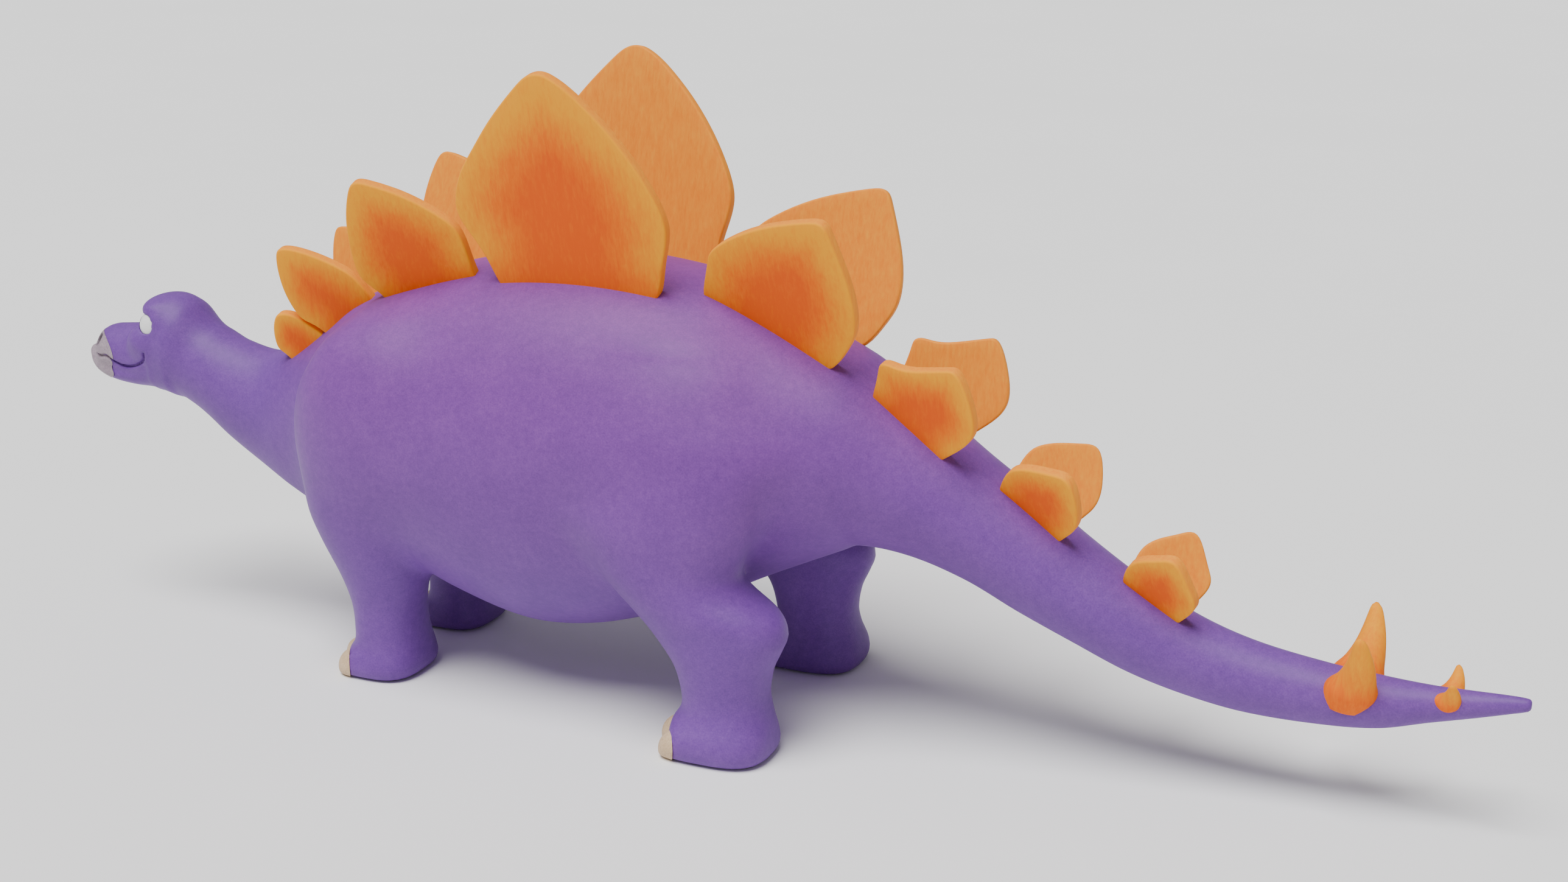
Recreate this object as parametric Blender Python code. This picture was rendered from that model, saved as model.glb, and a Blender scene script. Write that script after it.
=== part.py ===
"""Stuffed stegosaurus: sewn panels over fibre stuffing, felt-covered plates, tail spikes.

The dinosaur faces -X and stands on z = 0, with its left side towards -Y. Lengths here are in
millimetres and become metres when a mesh is made. The skin is a set of sewn panels around
separate lumps of stuffing. The neck, the tail's root and the tail's tip flex, so each is cut
across there: a domed lump of stuffing turns in the dished end of the one before it.
"""
import math

import bmesh
import bpy
from mathutils import Vector

MM = 0.001

SKIN = 1.5                 # fabric and its backing
GAP = 0.3                  # between neighbouring pieces
RING_SIDES = 20
LEG_SIDES = 12

# Body outline along X: x, top, bottom, half width
BODY = (
    (-232, 128, 84, 17),
    (-222, 122, 77, 18),
    (-205, 118, 67, 20.5),
    (-195, 121, 61, 22.5),
    (-180, 130, 53.5, 27),
    (-167, 138.5, 47.5, 35.5),
    (-153, 148, 45, 45),
    (-130, 158, 40.5, 54),
    (-105, 166, 30.5, 58),
    (-75, 172, 23, 60),
    (-50, 174, 25, 60),
    (-24, 173, 33, 58),
    (0, 169, 43.5, 54),
    (25, 160, 56.5, 46),
    (52, 147, 69.5, 38),
    (60, 143, 73, 35),
    (80, 129, 71.5, 29),
    (102, 113, 65, 25),
    (122, 100, 55.5, 22.5),
    (142, 86, 47, 20),
    (163, 73, 38.5, 17.5),
    (184, 62.5, 33, 14.7),
    (205, 56, 30, 12.8),
    (231, 52, 30, 11),
    (251, 50.5, 32, 9.2),
    (268, 50, 37, 6.5),
    (282, 50.5, 41, 4.6),
    (295, 51, 45, 3),
    (300, 50, 47.5, 1.2),
)

# Head outline along X: x, top, bottom, half width
HEAD = (
    (-215, 120, 72.5, 18.5),
    (-224, 123.5, 78.5, 17),
    (-232, 128, 84.5, 16.8),
    (-241, 136, 88.5, 17.8),
    (-252, 139, 92, 18.3),
    (-262, 137, 94.5, 17.3),
    (-268, 132, 95, 15.5),
    (-273, 125.5, 95, 14),
    (-281, 122.5, 95.5, 12.5),
    (-289.5, 120, 97, 10.8),
)
SNOUT = (
    (-290, 119.8, 97.2, 10.6),
    (-294.5, 117, 99.5, 8.6),
    (-298, 112.5, 102.5, 5.8),
    (-300, 108.5, 105.5, 2.5),
)
LIP_Z = 107                # where the muzzle patch meets the chin patch

# Flexing places: ring centre, dome radius, reach of the gap ahead of the parent's rim
NECK = Vector((-215, 0, 96))
TAIL = Vector((60, 0, 107.5))
TIP = Vector((205, 0, 43))
NECK_DOME = 16.5
TAIL_DOME = 32
TIP_DOME = 10.3
DOME_PLAY = 1.6
DOME_RINGS = 5
NECK_RIM_X = -208.5
TAIL_RIM_X = 51.5
TORSO_PLACES = (-202, -195, -187, -180, -173, -167, -160, -153, -141, -130, -118, -105,
                -75, -50, -24, 0, 12, 25, 38)
TIP_RIM_X = 200

BACK_SEAM = ((-232, 8), (-185, 12), (-125, 19.5), (-55, 25), (25, 18), (60, 15))
BELLY_SEAM_DEG = 144

# Legs: z, front x, back x, inner y, outer y, for the left side with y as a distance
FRONT_LEG = (
    (2, -157, -121, 11.5, 45.5),
    (4.5, -158.5, -120, 10, 47),
    (8, -155, -120.2, 10.5, 46),
    (11.5, -149.7, -120.8, 11.5, 44.5),
    (20, -149, -121.8, 12.5, 43.5),
    (30, -150.5, -121.5, 12.5, 43.5),
    (42, -155, -118.5, 11, 46),
    (56, -161, -116, 9.5, 50),
    (68, -165, -113, 9.5, 53),
    (80, -166.5, -112, 12, 54),
)
HIND_LEG = (
    (2, -5, 40, 29.5, 63.5),
    (5, -6.5, 40.8, 28, 65),
    (9, -4, 40.6, 28.5, 64.5),
    (13, 1.8, 39.8, 29.5, 62.5),
    (18, 4.8, 38.4, 30, 60.5),
    (24, 4.6, 37.6, 30, 60),
    (34, 1.5, 39.4, 29, 61),
    (42, -4.5, 43, 28, 62),
    (48, -10, 45, 27, 62.5),
    (55, -17, 42, 26, 63.5),
    (63, -25, 32, 25, 64),
    (72, -34, 31, 25, 65),
    (92, -48, 35, 18, 64.5),
    (115, -44, 37, 16, 58),
    (135, -24, 20, 20, 46),
)
TOE_STATIONS = 5           # the toe caps take this many stations from the ground up
FRONT_CAP_X = -150         # the toe caps stand ahead of these planes
HIND_CAP_X = 3
TOE_TOP = 16.5             # above the toe caps
SOLE_TOP = 1.7
SOLE_INSET = 3.5
TOE_LOBE = 1.6             # how far each toe bulges
TOE_PITCH_DEG = 44

# Plates: base point (x, y, z) of the left row, slope of the back, outward lean, and the
# outline as (along the back, up the plate), front edge first and clockwise seen from the left
PLATE_HALF = 2.25
PLATES = (
    ((-185, -11, 122), -30, 14, (
        (-0.5, -4), (-3.5, 2), (-5, 6.5), (-1.6, 13), (2.6, 17), (5.8, 17.8), (9.3, 16),
        (12.4, 12.5), (16.5, 4.5), (19, -3.5), (10, -5))),
    ((-165, -12.5, 137), -36, 13.5, (
        (-2, -6.5), (-6.2, 3), (-9.9, 10), (-8, 20.5), (-3.7, 29), (1.2, 35.1), (4.7, 36.3),
        (9.7, 32.5), (16, 24.5), (21.6, 14.5), (23.2, 6.5), (21.5, -5.5), (10, -7.5))),
    ((-125, -18.5, 157), -22, 17.5, (
        (-6, -8), (-12, 2), (-16.6, 11), (-13.3, 23), (-7.4, 35), (0.5, 44.8), (5, 47),
        (10, 44.5), (21.6, 35), (32, 21.6), (34.4, 13.5), (31.8, 1.5), (28, -7), (11, -8))),
    ((-55, -24, 170), 0, 11.3, (
        (-20.5, -8), (-30.5, 6.5), (-38.8, 19), (-39.8, 27.5), (-36, 38), (-29, 48),
        (-19.6, 60.4), (-7.9, 72.7), (-2.5, 77.2), (2.2, 78.5), (7, 77.2), (14.8, 71.8),
        (25.8, 60.9), (34.4, 49.9), (41.1, 38.9), (46.1, 27.7), (46.8, 19), (43.5, 7),
        (37.5, -6), (8, -8))),
    ((25, -14.8, 155), 27, 17.2, (
        (-24, -4.5), (-29.4, 10.5), (-29.8, 20), (-17.7, 37.7), (-1.6, 52), (4.9, 55.5),
        (10.4, 51.3), (23.7, 37), (30.8, 24), (31, 13), (26.5, -1), (3, -4))),
    ((85, -14, 122), 38, 15.5, (
        (-18, -6), (-25, 6.5), (-27.4, 13.2), (-19, 17.8), (-8.7, 29.3), (-4.4, 32.7),
        (3.5, 28.6), (12.2, 21), (15, 13.5), (12.8, 3), (8, -5), (-5, -6))),
    ((130, -8.2, 93), 38, 24, (
        (-17, -4.5), (-21.8, 7), (-18.4, 15), (-11, 21.9), (-3.9, 26.4), (5, 18.7),
        (9.5, 10.8), (9, 3), (6.5, -4), (-5, -5))),
    ((170, -4.9, 68), 36, 24, (
        (-11, -2), (-14.8, 6), (-13.4, 12.7), (-9, 19), (-3.8, 24.7), (6.3, 18.3),
        (12, 13.8), (12.2, 5.5), (10, -1.5), (0, -2.5))),
)
TORSO_PLATES = (1, 2, 3, 4, 5)
TAIL_PLATES = (6, 7, 8)

# Spikes: root inside the tail, tip, half length and half width at the root
SPIKES = (
    ((239, -5, 42), (245, -18.3, 70.5), 9.5, 6.5),
    ((272, -2.5, 45), (275, -9.7, 55.3), 5, 3.5),
)
SPIKE_PROFILE = ((0, 1), (0.2, 0.95), (0.33, 0.76), (0.5, 0.6), (0.72, 0.43),
                 (0.88, 0.29), (0.96, 0.19), (1, 0.08))
SPIKE_SIDES = 10
TIP_SIDES = 14

# Safety eyes: a white dome and its stem, a dark pupil, and the washer that locks the stem
EYE_CENTRE = Vector((-261, -8.6, 126))
EYE_RADIUS = 6.8
EYE_SIDES = 14
EYE_AXIS = Vector((-0.96, -0.22, 0.12)).normalized()
PUPIL_RADIUS = 3.2
PUPIL_DEPTH = 0.8
STEM_RADIUS = 1.6
STEM_LENGTH = 12
WASHER_RADIUS = 4.6
WASHER_THICK = 1.2

COLOURS = {
    "purple_velour": ((0.27, 0.13, 0.47), 0.9),
    "stuffing": ((0.9, 0.9, 0.88), 1.0),
    "orange_felt": ((0.9, 0.33, 0.04), 0.8),
    "beige_velour": ((0.72, 0.55, 0.34), 0.9),
    "grey_velour": ((0.45, 0.4, 0.44), 0.9),
    "eye_white": ((0.9, 0.9, 0.9), 0.25),
    "eye_black": ((0.01, 0.01, 0.012), 0.2),
    "washer_plastic": ((0.8, 0.8, 0.78), 0.5),
}


def material(name):
    """The Principled material of one colour, made the first time it is asked for."""
    found = bpy.data.materials.get(name)
    if found:
        return found
    colour, roughness = COLOURS[name]
    made = bpy.data.materials.new(name)
    made.use_nodes = True
    shader = made.node_tree.nodes["Principled BSDF"]
    shader.inputs["Base Color"].default_value = (*colour, 1)
    shader.inputs["Roughness"].default_value = roughness
    shader.inputs["Metallic"].default_value = 0
    return made


def pivot(name, place, parent=None):
    """An empty on a flexing place's axis, which carries that body's pieces."""
    empty = bpy.data.objects.new(name, None)
    base = parent["place"] if parent else (0, 0, 0)
    empty["place"] = list(place)
    empty.location = (Vector(place) - Vector(base)) * MM
    empty.parent = parent
    bpy.context.collection.objects.link(empty)
    return empty


def make(name, points, faces, slot, body):
    """A mesh object from points in millimetres, measured from its body's pivot."""
    centre = Vector(body["place"]) if body else Vector()
    mesh = bpy.data.meshes.new(name)
    mesh.from_pydata([(Vector(p) - centre) * MM for p in points], [], faces)
    work = bmesh.new()
    work.from_mesh(mesh)
    bmesh.ops.recalc_face_normals(work, faces=work.faces)
    work.to_mesh(mesh)
    work.free()
    mesh.shade_smooth()
    mesh.set_sharp_from_angle(angle=math.radians(40))
    mesh.materials.append(material(slot))
    piece = bpy.data.objects.new(name, mesh)
    piece.parent = body
    bpy.context.collection.objects.link(piece)
    return piece


def as_cutter(piece):
    """Marks a guide solid, which only cuts others."""
    piece.hide_render = True
    piece.display_type = "WIRE"
    return piece


def cut(piece, *cutters):
    """Takes the cutters away from a piece."""
    for cutter in cutters:
        modifier = piece.modifiers.new("cut", "BOOLEAN")
        modifier.operation = "DIFFERENCE"
        modifier.solver = "EXACT"
        modifier.object = cutter


def bands(rows, count, start=0):
    """Quads between successive closed rings of equal size."""
    faces = []
    for row in range(rows - 1):
        for i in range(count):
            j = (i + 1) % count
            a = start + row * count
            faces.append((a + i, a + j, a + count + j, a + count + i))
    return faces


def solid(name, rings, slot, body=None):
    """A closed solid through successive rings, with flat ends."""
    count = len(rings[0])
    faces = bands(len(rings), count)
    faces.append(tuple(range(count)))
    last = (len(rings) - 1) * count
    faces.append(tuple(range(last + count - 1, last - 1, -1)))
    return make(name, [p for ring in rings for p in ring], faces, slot, body)


def shell(name, outer, inner, slot, body=None, capped=False):
    """A tube wall between outer and inner rings. A capped one is closed at its far end."""
    count = len(outer[0])
    points = [p for ring in outer + inner for p in ring]
    base = len(outer) * count
    faces = bands(len(outer), count) + bands(len(inner), count, base)
    far_out = (len(outer) - 1) * count
    far_in = base + (len(inner) - 1) * count
    for i in range(count):
        j = (i + 1) % count
        faces.append((i, j, base + j, base + i))
        if not capped:
            faces.append((far_out + i, far_out + j, far_in + j, far_in + i))
    if capped:
        faces.append(tuple(range(far_out, far_out + count)))
        faces.append(tuple(range(far_in, far_in + count)))
    return make(name, points, faces, slot, body)


def panel(name, outer, inner, slot, body=None):
    """A sewn panel: a strip of skin between open outer and inner arcs of equal size."""
    count = len(outer[0])
    points = [p for k in range(len(outer)) for p in outer[k] + inner[k][::-1]]
    loop = 2 * count
    faces = bands(len(outer), loop)
    last = (len(outer) - 1) * loop
    for i in range(count - 1):
        faces.append((i, i + 1, loop - 2 - i, loop - 1 - i))
        faces.append((last + i, last + i + 1, last + loop - 2 - i, last + loop - 1 - i))
    return make(name, points, faces, slot, body)


def curve_through(stations, x):
    """The values of a smooth curve through the stations at x."""
    rows = sorted(stations)
    k = max(0, min(len(rows) - 2, sum(1 for row in rows if row[0] <= x) - 1))
    a, b = rows[k], rows[k + 1]
    before = rows[max(k - 1, 0)]
    after = rows[min(k + 2, len(rows) - 1)]
    span = b[0] - a[0]
    t = (x - a[0]) / span
    values = []
    for i in range(1, len(a)):
        slope_a = (b[i] - before[i]) / (b[0] - before[0]) * span
        slope_b = (after[i] - a[i]) / (after[0] - a[0]) * span
        values.append((2 * t**3 - 3 * t**2 + 1) * a[i] + (t**3 - 2 * t**2 + t) * slope_a
                      + (3 * t**2 - 2 * t**3) * b[i] + (t**3 - t**2) * slope_b)
    return values


def around(stations, x, inset, angles):
    """Points round the body at x. Angles run from the top towards the left side."""
    top, bottom, width = curve_through(stations, x)
    middle = (top + bottom) / 2
    height = (top - bottom) / 2 - inset
    return [(x, -(width - inset) * math.sin(angle), middle + height * math.cos(angle))
            for angle in angles]


def round_ring(stations, x, inset=0, sides=RING_SIDES):
    """A whole ring round the body at x."""
    return around(stations, x, inset, [2 * math.pi * i / sides for i in range(sides)])


def panel_angles(start, end):
    """A panel's two seam angles, with the whole ring's own angles between them."""
    step = 2 * math.pi / RING_SIDES
    first = math.ceil(start / step)
    last = math.floor(end / step)
    return [start] + [step * i for i in range(first, last + 1)] + [end]


def dome(centre, radius, toward, sides=RING_SIDES):
    """Rings of a half ball that bulges along X to one side, from its tip to its widest ring."""
    rings = []
    for step in range(1, DOME_RINGS + 1):
        angle = math.pi / 2 * step / DOME_RINGS
        reach = radius * math.cos(angle)
        size = radius * math.sin(angle)
        rings.append([(centre.x + toward * reach,
                       -size * math.sin(2 * math.pi * i / sides),
                       centre.z + size * math.cos(2 * math.pi * i / sides))
                      for i in range(sides)])
    return rings


def ball(name, centre, radius, slot="stuffing", body=None, rings=10, sides=RING_SIDES,
         axis=Vector((1, 0, 0)), stop=180):
    """A ball, or the cap of one down to the angle stop, built round an axis."""
    side = axis.cross(Vector((0, 0, 1))).normalized()
    up = side.cross(axis)
    rows = []
    for step in range(1, rings if stop == 180 else rings + 1):
        angle = math.radians(stop * step / rings)
        middle = centre + axis * radius * math.cos(angle)
        size = radius * math.sin(angle)
        rows.append([middle + (side * math.cos(2 * math.pi * i / sides)
                               + up * math.sin(2 * math.pi * i / sides)) * size
                     for i in range(sides)])
    return solid(name, rows, slot, body)


def rod(name, start, axis, radius, length, slot, body=None, sides=8):
    """A round rod from a point along an axis."""
    side = axis.cross(Vector((0, 0, 1))).normalized()
    up = side.cross(axis)
    rows = []
    for reach in (0, length):
        rows.append([start + axis * reach + (side * math.cos(2 * math.pi * i / sides)
                                             + up * math.sin(2 * math.pi * i / sides)) * radius
                     for i in range(sides)])
    return solid(name, rows, slot, body)


def block(name, low, high, body=None):
    """A box-shaped cutter."""
    rows = [[(x, low[1], low[2]), (x, high[1], low[2]), (x, high[1], high[2]), (x, low[1], high[2])]
            for x in (low[0], high[0])]
    return as_cutter(solid(name, rows, "stuffing", body))


def seam_angle(x):
    """Angle from the top at which the back panel meets a flank panel."""
    reach = curve_through(BACK_SEAM, x)[0]
    width = curve_through(BODY, x)[2]
    return math.asin(min(0.9, reach / width))


def plate_rings(number, side, layers):
    """Outline rings of one plate. Each layer is an offset across it and a growth outward."""
    base, slope, lean, outline = PLATES[number - 1]
    slope = math.radians(slope)
    lean = math.radians(lean)
    along = Vector((math.cos(slope), 0, -math.sin(slope)))
    normal = Vector((math.sin(slope), 0, math.cos(slope)))
    up = normal * math.cos(lean) + Vector((0, side * math.sin(lean), 0))
    across = along.cross(up)
    origin = Vector((base[0], side * -base[1], base[2]))
    flat = [Vector(point) for point in outline]
    centre = sum(flat, Vector((0, 0))) / len(flat)
    rings = []
    for offset, growth in layers:
        ring = []
        for point in flat:
            away = point - centre
            grown = centre + away * (1 + growth / away.length)
            ring.append(origin + along * grown.x + up * grown.y + across * offset)
        rings.append(ring)
    return rings


def side_of(name):
    """Sign of Y on a side of the body."""
    return -1 if name == "left" else 1


def add_plates(numbers, body):
    """The plates of one body in both rows, and the solids that cut their slots."""
    half = PLATE_HALF
    slots = []
    for side in ("left", "right"):
        for number in numbers:
            layers = ((-half, 0), (half, 0))
            solid(f"plate_{side}_{number}", plate_rings(number, side_of(side), layers),
                  "orange_felt", body)
            layers = ((-half - GAP, GAP), (half + GAP, GAP))
            slot = solid(f"slot_{side}_{number}", plate_rings(number, side_of(side), layers),
                         "orange_felt", body)
            slots.append(as_cutter(slot))
    return slots


def add_torso():
    """Torso stuffing under four sewn panels: back, two flanks and belly."""
    places = [NECK_RIM_X, *TORSO_PLACES, TAIL_RIM_X]
    under = SKIN + GAP
    stuffing = solid("torso_stuffing", [round_ring(BODY, x, under) for x in places], "stuffing")
    neck_dish = as_cutter(ball("neck_dish", NECK, NECK_DOME + DOME_PLAY))
    tail_dish = as_cutter(ball("tail_dish", TAIL, TAIL_DOME + DOME_PLAY))
    slots = add_plates(TORSO_PLATES, None)
    cut(stuffing, neck_dish, tail_dish, *slots)

    belly = math.radians(BELLY_SEAM_DEG)
    turn = 2 * math.pi

    def strip(name, slot, limits):
        """One panel between the two seam angles that limits gives at each place."""
        rows = {0: [], SKIN: []}
        for x in places:
            start, end = limits(x)
            slack = GAP / 2 / curve_through(BODY, x)[2]
            for inset in rows:
                angles = panel_angles(start + slack, end - slack)
                rows[inset].append(around(BODY, x, inset, angles))
        return panel(name, rows[0], rows[SKIN], slot)

    back = strip("back_panel", "purple_velour", lambda x: (-seam_angle(x), seam_angle(x)))
    left = strip("left_flank_panel", "purple_velour", lambda x: (seam_angle(x), belly))
    right = strip("right_flank_panel", "purple_velour",
                  lambda x: (turn - belly, turn - seam_angle(x)))
    strip("belly_panel", "purple_velour", lambda x: (belly, turn - belly))
    cut(back, *slots)
    cut(left, *slots[:len(TORSO_PLATES)])
    cut(right, *slots[len(TORSO_PLATES):])
    return as_cutter(solid("torso_envelope", [round_ring(BODY, x, -GAP) for x in places],
                           "stuffing"))


def leg_ring(station, side, inset=0, lobes=False):
    """A horizontal ring of a leg. With lobes, its front swells into toes."""
    z, front, back, inner, outer = station
    centre_x = (front + back) / 2
    centre_y = (inner + outer) / 2
    points = []
    sides = LEG_SIDES * 2 if lobes else LEG_SIDES
    for i in range(sides):
        angle = 2 * math.pi * i / sides
        bulge = 0
        if lobes and math.cos(angle) > 0:
            pitch = math.radians(TOE_PITCH_DEG)
            bulge = TOE_LOBE * (abs(math.cos(math.pi * angle / pitch)) - 1)
        across = (back - front) / 2 - inset + bulge
        depth = (outer - inner) / 2 - inset + bulge
        points.append((centre_x - across * math.cos(angle),
                       side * (centre_y + depth * math.sin(angle)), z))
    return points


def add_leg(name, stations, side, cap_x, torso):
    """A leg: skin, stuffing, flat sole and lobed toe cap, cut to the torso's surface."""
    sign = side_of(side)
    title = f"{name}_{side}"
    under = SKIN + 2 * GAP
    low, high = stations[0][0], stations[-1][0]
    ahead = block(f"{title}_toe_block", (cap_x - 40, -80, low - 5), (cap_x, 80, TOE_TOP))
    behind = block(f"{title}_heel_block", (cap_x - GAP, -80, low - 5), (cap_x + 80, 80, high + 5))

    inner = [leg_ring(s, sign, SKIN) for s in stations[:-1]]
    lid = stations[-2][0] + (high - stations[-2][0]) * 0.7
    inner.append([(x, y, lid) for x, y, z in leg_ring(stations[-1], sign, SKIN)])
    skin = shell(f"{title}_leg_skin", [leg_ring(s, sign) for s in stations], inner,
                 "purple_velour", capped=True)
    cut(skin, torso, ahead)

    core = [leg_ring(s, sign, under) for s in stations[:-1]]
    lid -= 2 * GAP
    core.append([(x, y, lid) for x, y, z in leg_ring(stations[-1], sign, under)])
    stuffing = solid(f"{title}_leg_stuffing", core, "stuffing")
    cut(stuffing, torso, ahead)

    toes = [leg_ring(s, sign, 0, True) for s in stations[:TOE_STATIONS]]
    cap = solid(f"{title}_toe_cap", toes, "beige_velour")
    cut(cap, behind)

    foot = stations[0]
    sole = [[(x, y, z) for x, y, _ in leg_ring(foot, sign, inset)]
            for z, inset in ((0, SOLE_INSET), (SOLE_TOP, 0))]
    solid(f"{title}_sole", sole, "purple_velour")


def add_head():
    """Neck and head: skin over stuffing, two snout patches and two safety eyes."""
    body = pivot("neck_pivot", NECK)
    under = SKIN + GAP
    places = [row[0] for row in HEAD]
    skin = shell("head_skin", [round_ring(HEAD, x) for x in places],
                 [round_ring(HEAD, x, SKIN) for x in places], "purple_velour", body)
    core = dome(NECK, NECK_DOME, 1) + [round_ring(HEAD, x, under) for x in places]
    stuffing = solid("head_stuffing", core, "stuffing", body)

    snout = [round_ring(SNOUT, row[0]) for row in SNOUT]
    for name, low, high in (("muzzle_patch", -1, LIP_Z), ("chin_patch", LIP_Z - GAP, 200)):
        patch = solid(name, snout, "grey_velour", body)
        other = block(f"{name}_block", (-320, -40, low), (-280, 40, high), body)
        cut(patch, other)

    for side in ("left", "right"):
        sign = -side_of(side)
        centre = Vector((EYE_CENTRE.x, sign * EYE_CENTRE.y, EYE_CENTRE.z))
        axis = Vector((EYE_AXIS.x, sign * EYE_AXIS.y, EYE_AXIS.z))
        add_eye(side, centre, axis, body, skin, stuffing)
    return body


def add_eye(side, centre, axis, body, skin, stuffing):
    """A safety eye: ball, pupil, stem and locking washer, let into the skin and stuffing."""
    eye = ball(f"eye_{side}", centre, EYE_RADIUS, "eye_white", body, 6, EYE_SIDES, axis, 115)
    back = -0.42 * EYE_RADIUS
    stem = rod(f"eye_{side}_stem", centre + axis * (back + 1), -axis, STEM_RADIUS,
               STEM_LENGTH, "eye_white", body)
    as_cutter(stem)
    join = eye.modifiers.new("stem", "BOOLEAN")
    join.operation = "UNION"
    join.solver = "EXACT"
    join.object = stem
    front = EYE_RADIUS - PUPIL_DEPTH
    pupil_seat = rod(f"eye_{side}_seat", centre + axis * front, axis, PUPIL_RADIUS + GAP, 4,
                     "eye_black", body, EYE_SIDES)
    cut(eye, as_cutter(pupil_seat))
    rod(f"pupil_{side}", centre + axis * (front + GAP), axis, PUPIL_RADIUS, PUPIL_DEPTH,
        "eye_black", body, EYE_SIDES)
    hole = ball(f"eye_{side}_socket", centre, EYE_RADIUS + GAP, "stuffing", body, 6, EYE_SIDES, axis, 116)
    bore = rod(f"eye_{side}_bore", centre, -axis, STEM_RADIUS + GAP, 18, "stuffing", body)
    washer = rod(f"eye_washer_{side}", centre + axis * (back - 6), -axis, WASHER_RADIUS,
                 WASHER_THICK, "washer_plastic", body, EYE_SIDES)
    room = rod(f"eye_{side}_room", centre + axis * (back - 6 + GAP), -axis, WASHER_RADIUS + GAP,
               WASHER_THICK + 2 * GAP, "stuffing", body, EYE_SIDES)
    for cutter in (hole, bore, room):
        as_cutter(cutter)
    cut(washer, bore)
    cut(skin, hole, bore, pupil_seat)
    cut(stuffing, hole, bore, room, pupil_seat)


def add_tail():
    """The tail's root: skin over stuffing, with the last three pairs of plates."""
    body = pivot("tail_pivot", TAIL)
    places = [TAIL.x, 80, 102, 122, 142, 163, 184, TIP_RIM_X]
    skin = shell("tail_skin", [round_ring(BODY, x) for x in places],
                 [round_ring(BODY, x, SKIN) for x in places], "purple_velour", body)
    core = dome(TAIL, TAIL_DOME, -1) + [round_ring(BODY, x, SKIN + GAP) for x in places]
    stuffing = solid("tail_stuffing", core, "stuffing", body)
    dish = as_cutter(ball("tip_dish", TIP, TIP_DOME + DOME_PLAY, body=body))
    slots = add_plates(TAIL_PLATES, body)
    cut(skin, *slots)
    cut(stuffing, dish, *slots)
    return body


def add_spike(name, spike, sign, body, envelope):
    """A curved cone that stands on the skin of the tail's tip."""
    root, tip, half_length, half_width = spike
    root = Vector((root[0], -sign * root[1], root[2]))
    tip = Vector((tip[0], -sign * tip[1], tip[2]))
    axis = (tip - root).normalized()
    length_way = (Vector((1, 0, 0)) - axis * axis.x).normalized()
    width_way = axis.cross(length_way)
    rings = []
    for t, size in SPIKE_PROFILE:
        sweep = length_way * half_length * 0.25 * (math.sin(math.pi * t) - t * 0.3)
        middle = root + (tip - root) * t + sweep
        rings.append([middle + length_way * half_length * size * math.cos(2 * math.pi * i / SPIKE_SIDES)
                      + width_way * half_width * size * math.sin(2 * math.pi * i / SPIKE_SIDES)
                      for i in range(SPIKE_SIDES)])
    piece = solid(name, rings, "orange_felt", body)
    cut(piece, envelope)


def add_tip(tail_pivot):
    """The tail's thin tip with its four spikes."""
    body = pivot("tip_pivot", TIP, tail_pivot)
    places = [TIP.x, 218, 231, 241, 251, 268, 282, 295, 300]
    inner_places = [x for x in places if x < 290]
    skin = shell("tail_tip_skin", [round_ring(BODY, x, 0, TIP_SIDES) for x in places],
                 [round_ring(BODY, x, SKIN, TIP_SIDES) for x in inner_places], "purple_velour", body, True)
    core = dome(TIP, TIP_DOME, -1, TIP_SIDES)
    core += [round_ring(BODY, x, SKIN + GAP, TIP_SIDES) for x in inner_places[:-1]]
    solid("tail_tip_stuffing", core, "stuffing", body)
    envelope = as_cutter(solid("tip_envelope", [round_ring(BODY, x, -GAP, TIP_SIDES) for x in places],
                               "stuffing", body))
    for side in ("left", "right"):
        for number, spike in enumerate(SPIKES, 1):
            add_spike(f"spike_{side}_{number}", spike, side_of(side), body, envelope)


def build():
    """The whole toy."""
    for old in list(bpy.data.objects):
        bpy.data.objects.remove(old, do_unlink=True)
    torso = add_torso()
    for side in ("left", "right"):
        add_leg("front", FRONT_LEG, side, FRONT_CAP_X, torso)
        add_leg("hind", HIND_LEG, side, HIND_CAP_X, torso)
    add_head()
    tail_pivot = add_tail()
    add_tip(tail_pivot)


build()
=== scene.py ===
"""Looks of the stuffed stegosaurus: velour skin, brushed felt plates, beige toes and glossy eyes.

The soft surfaces are cut from smooth fields, which are negative inside the stuffing, so limbs
flow into the body as firmly stuffed velour does. Lengths are in millimetres until a mesh is made.
"""
import math

import bmesh
import bpy
import numpy as np
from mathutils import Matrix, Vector


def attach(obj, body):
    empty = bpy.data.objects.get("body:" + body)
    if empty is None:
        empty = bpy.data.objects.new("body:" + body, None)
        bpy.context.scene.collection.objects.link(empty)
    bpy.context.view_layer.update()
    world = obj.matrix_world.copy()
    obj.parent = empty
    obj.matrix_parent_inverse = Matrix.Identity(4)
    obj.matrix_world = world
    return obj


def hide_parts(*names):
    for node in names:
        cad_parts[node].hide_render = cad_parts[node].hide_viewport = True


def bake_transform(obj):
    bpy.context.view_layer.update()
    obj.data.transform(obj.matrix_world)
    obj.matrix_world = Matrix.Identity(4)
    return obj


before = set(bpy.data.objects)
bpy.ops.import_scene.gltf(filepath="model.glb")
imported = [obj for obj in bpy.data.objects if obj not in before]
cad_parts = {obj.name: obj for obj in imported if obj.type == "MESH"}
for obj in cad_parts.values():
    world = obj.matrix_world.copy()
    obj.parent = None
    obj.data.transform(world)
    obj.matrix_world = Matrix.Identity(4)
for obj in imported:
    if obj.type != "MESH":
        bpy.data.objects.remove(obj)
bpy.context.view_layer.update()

MM = 0.001
COARSE = 1.0

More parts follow.
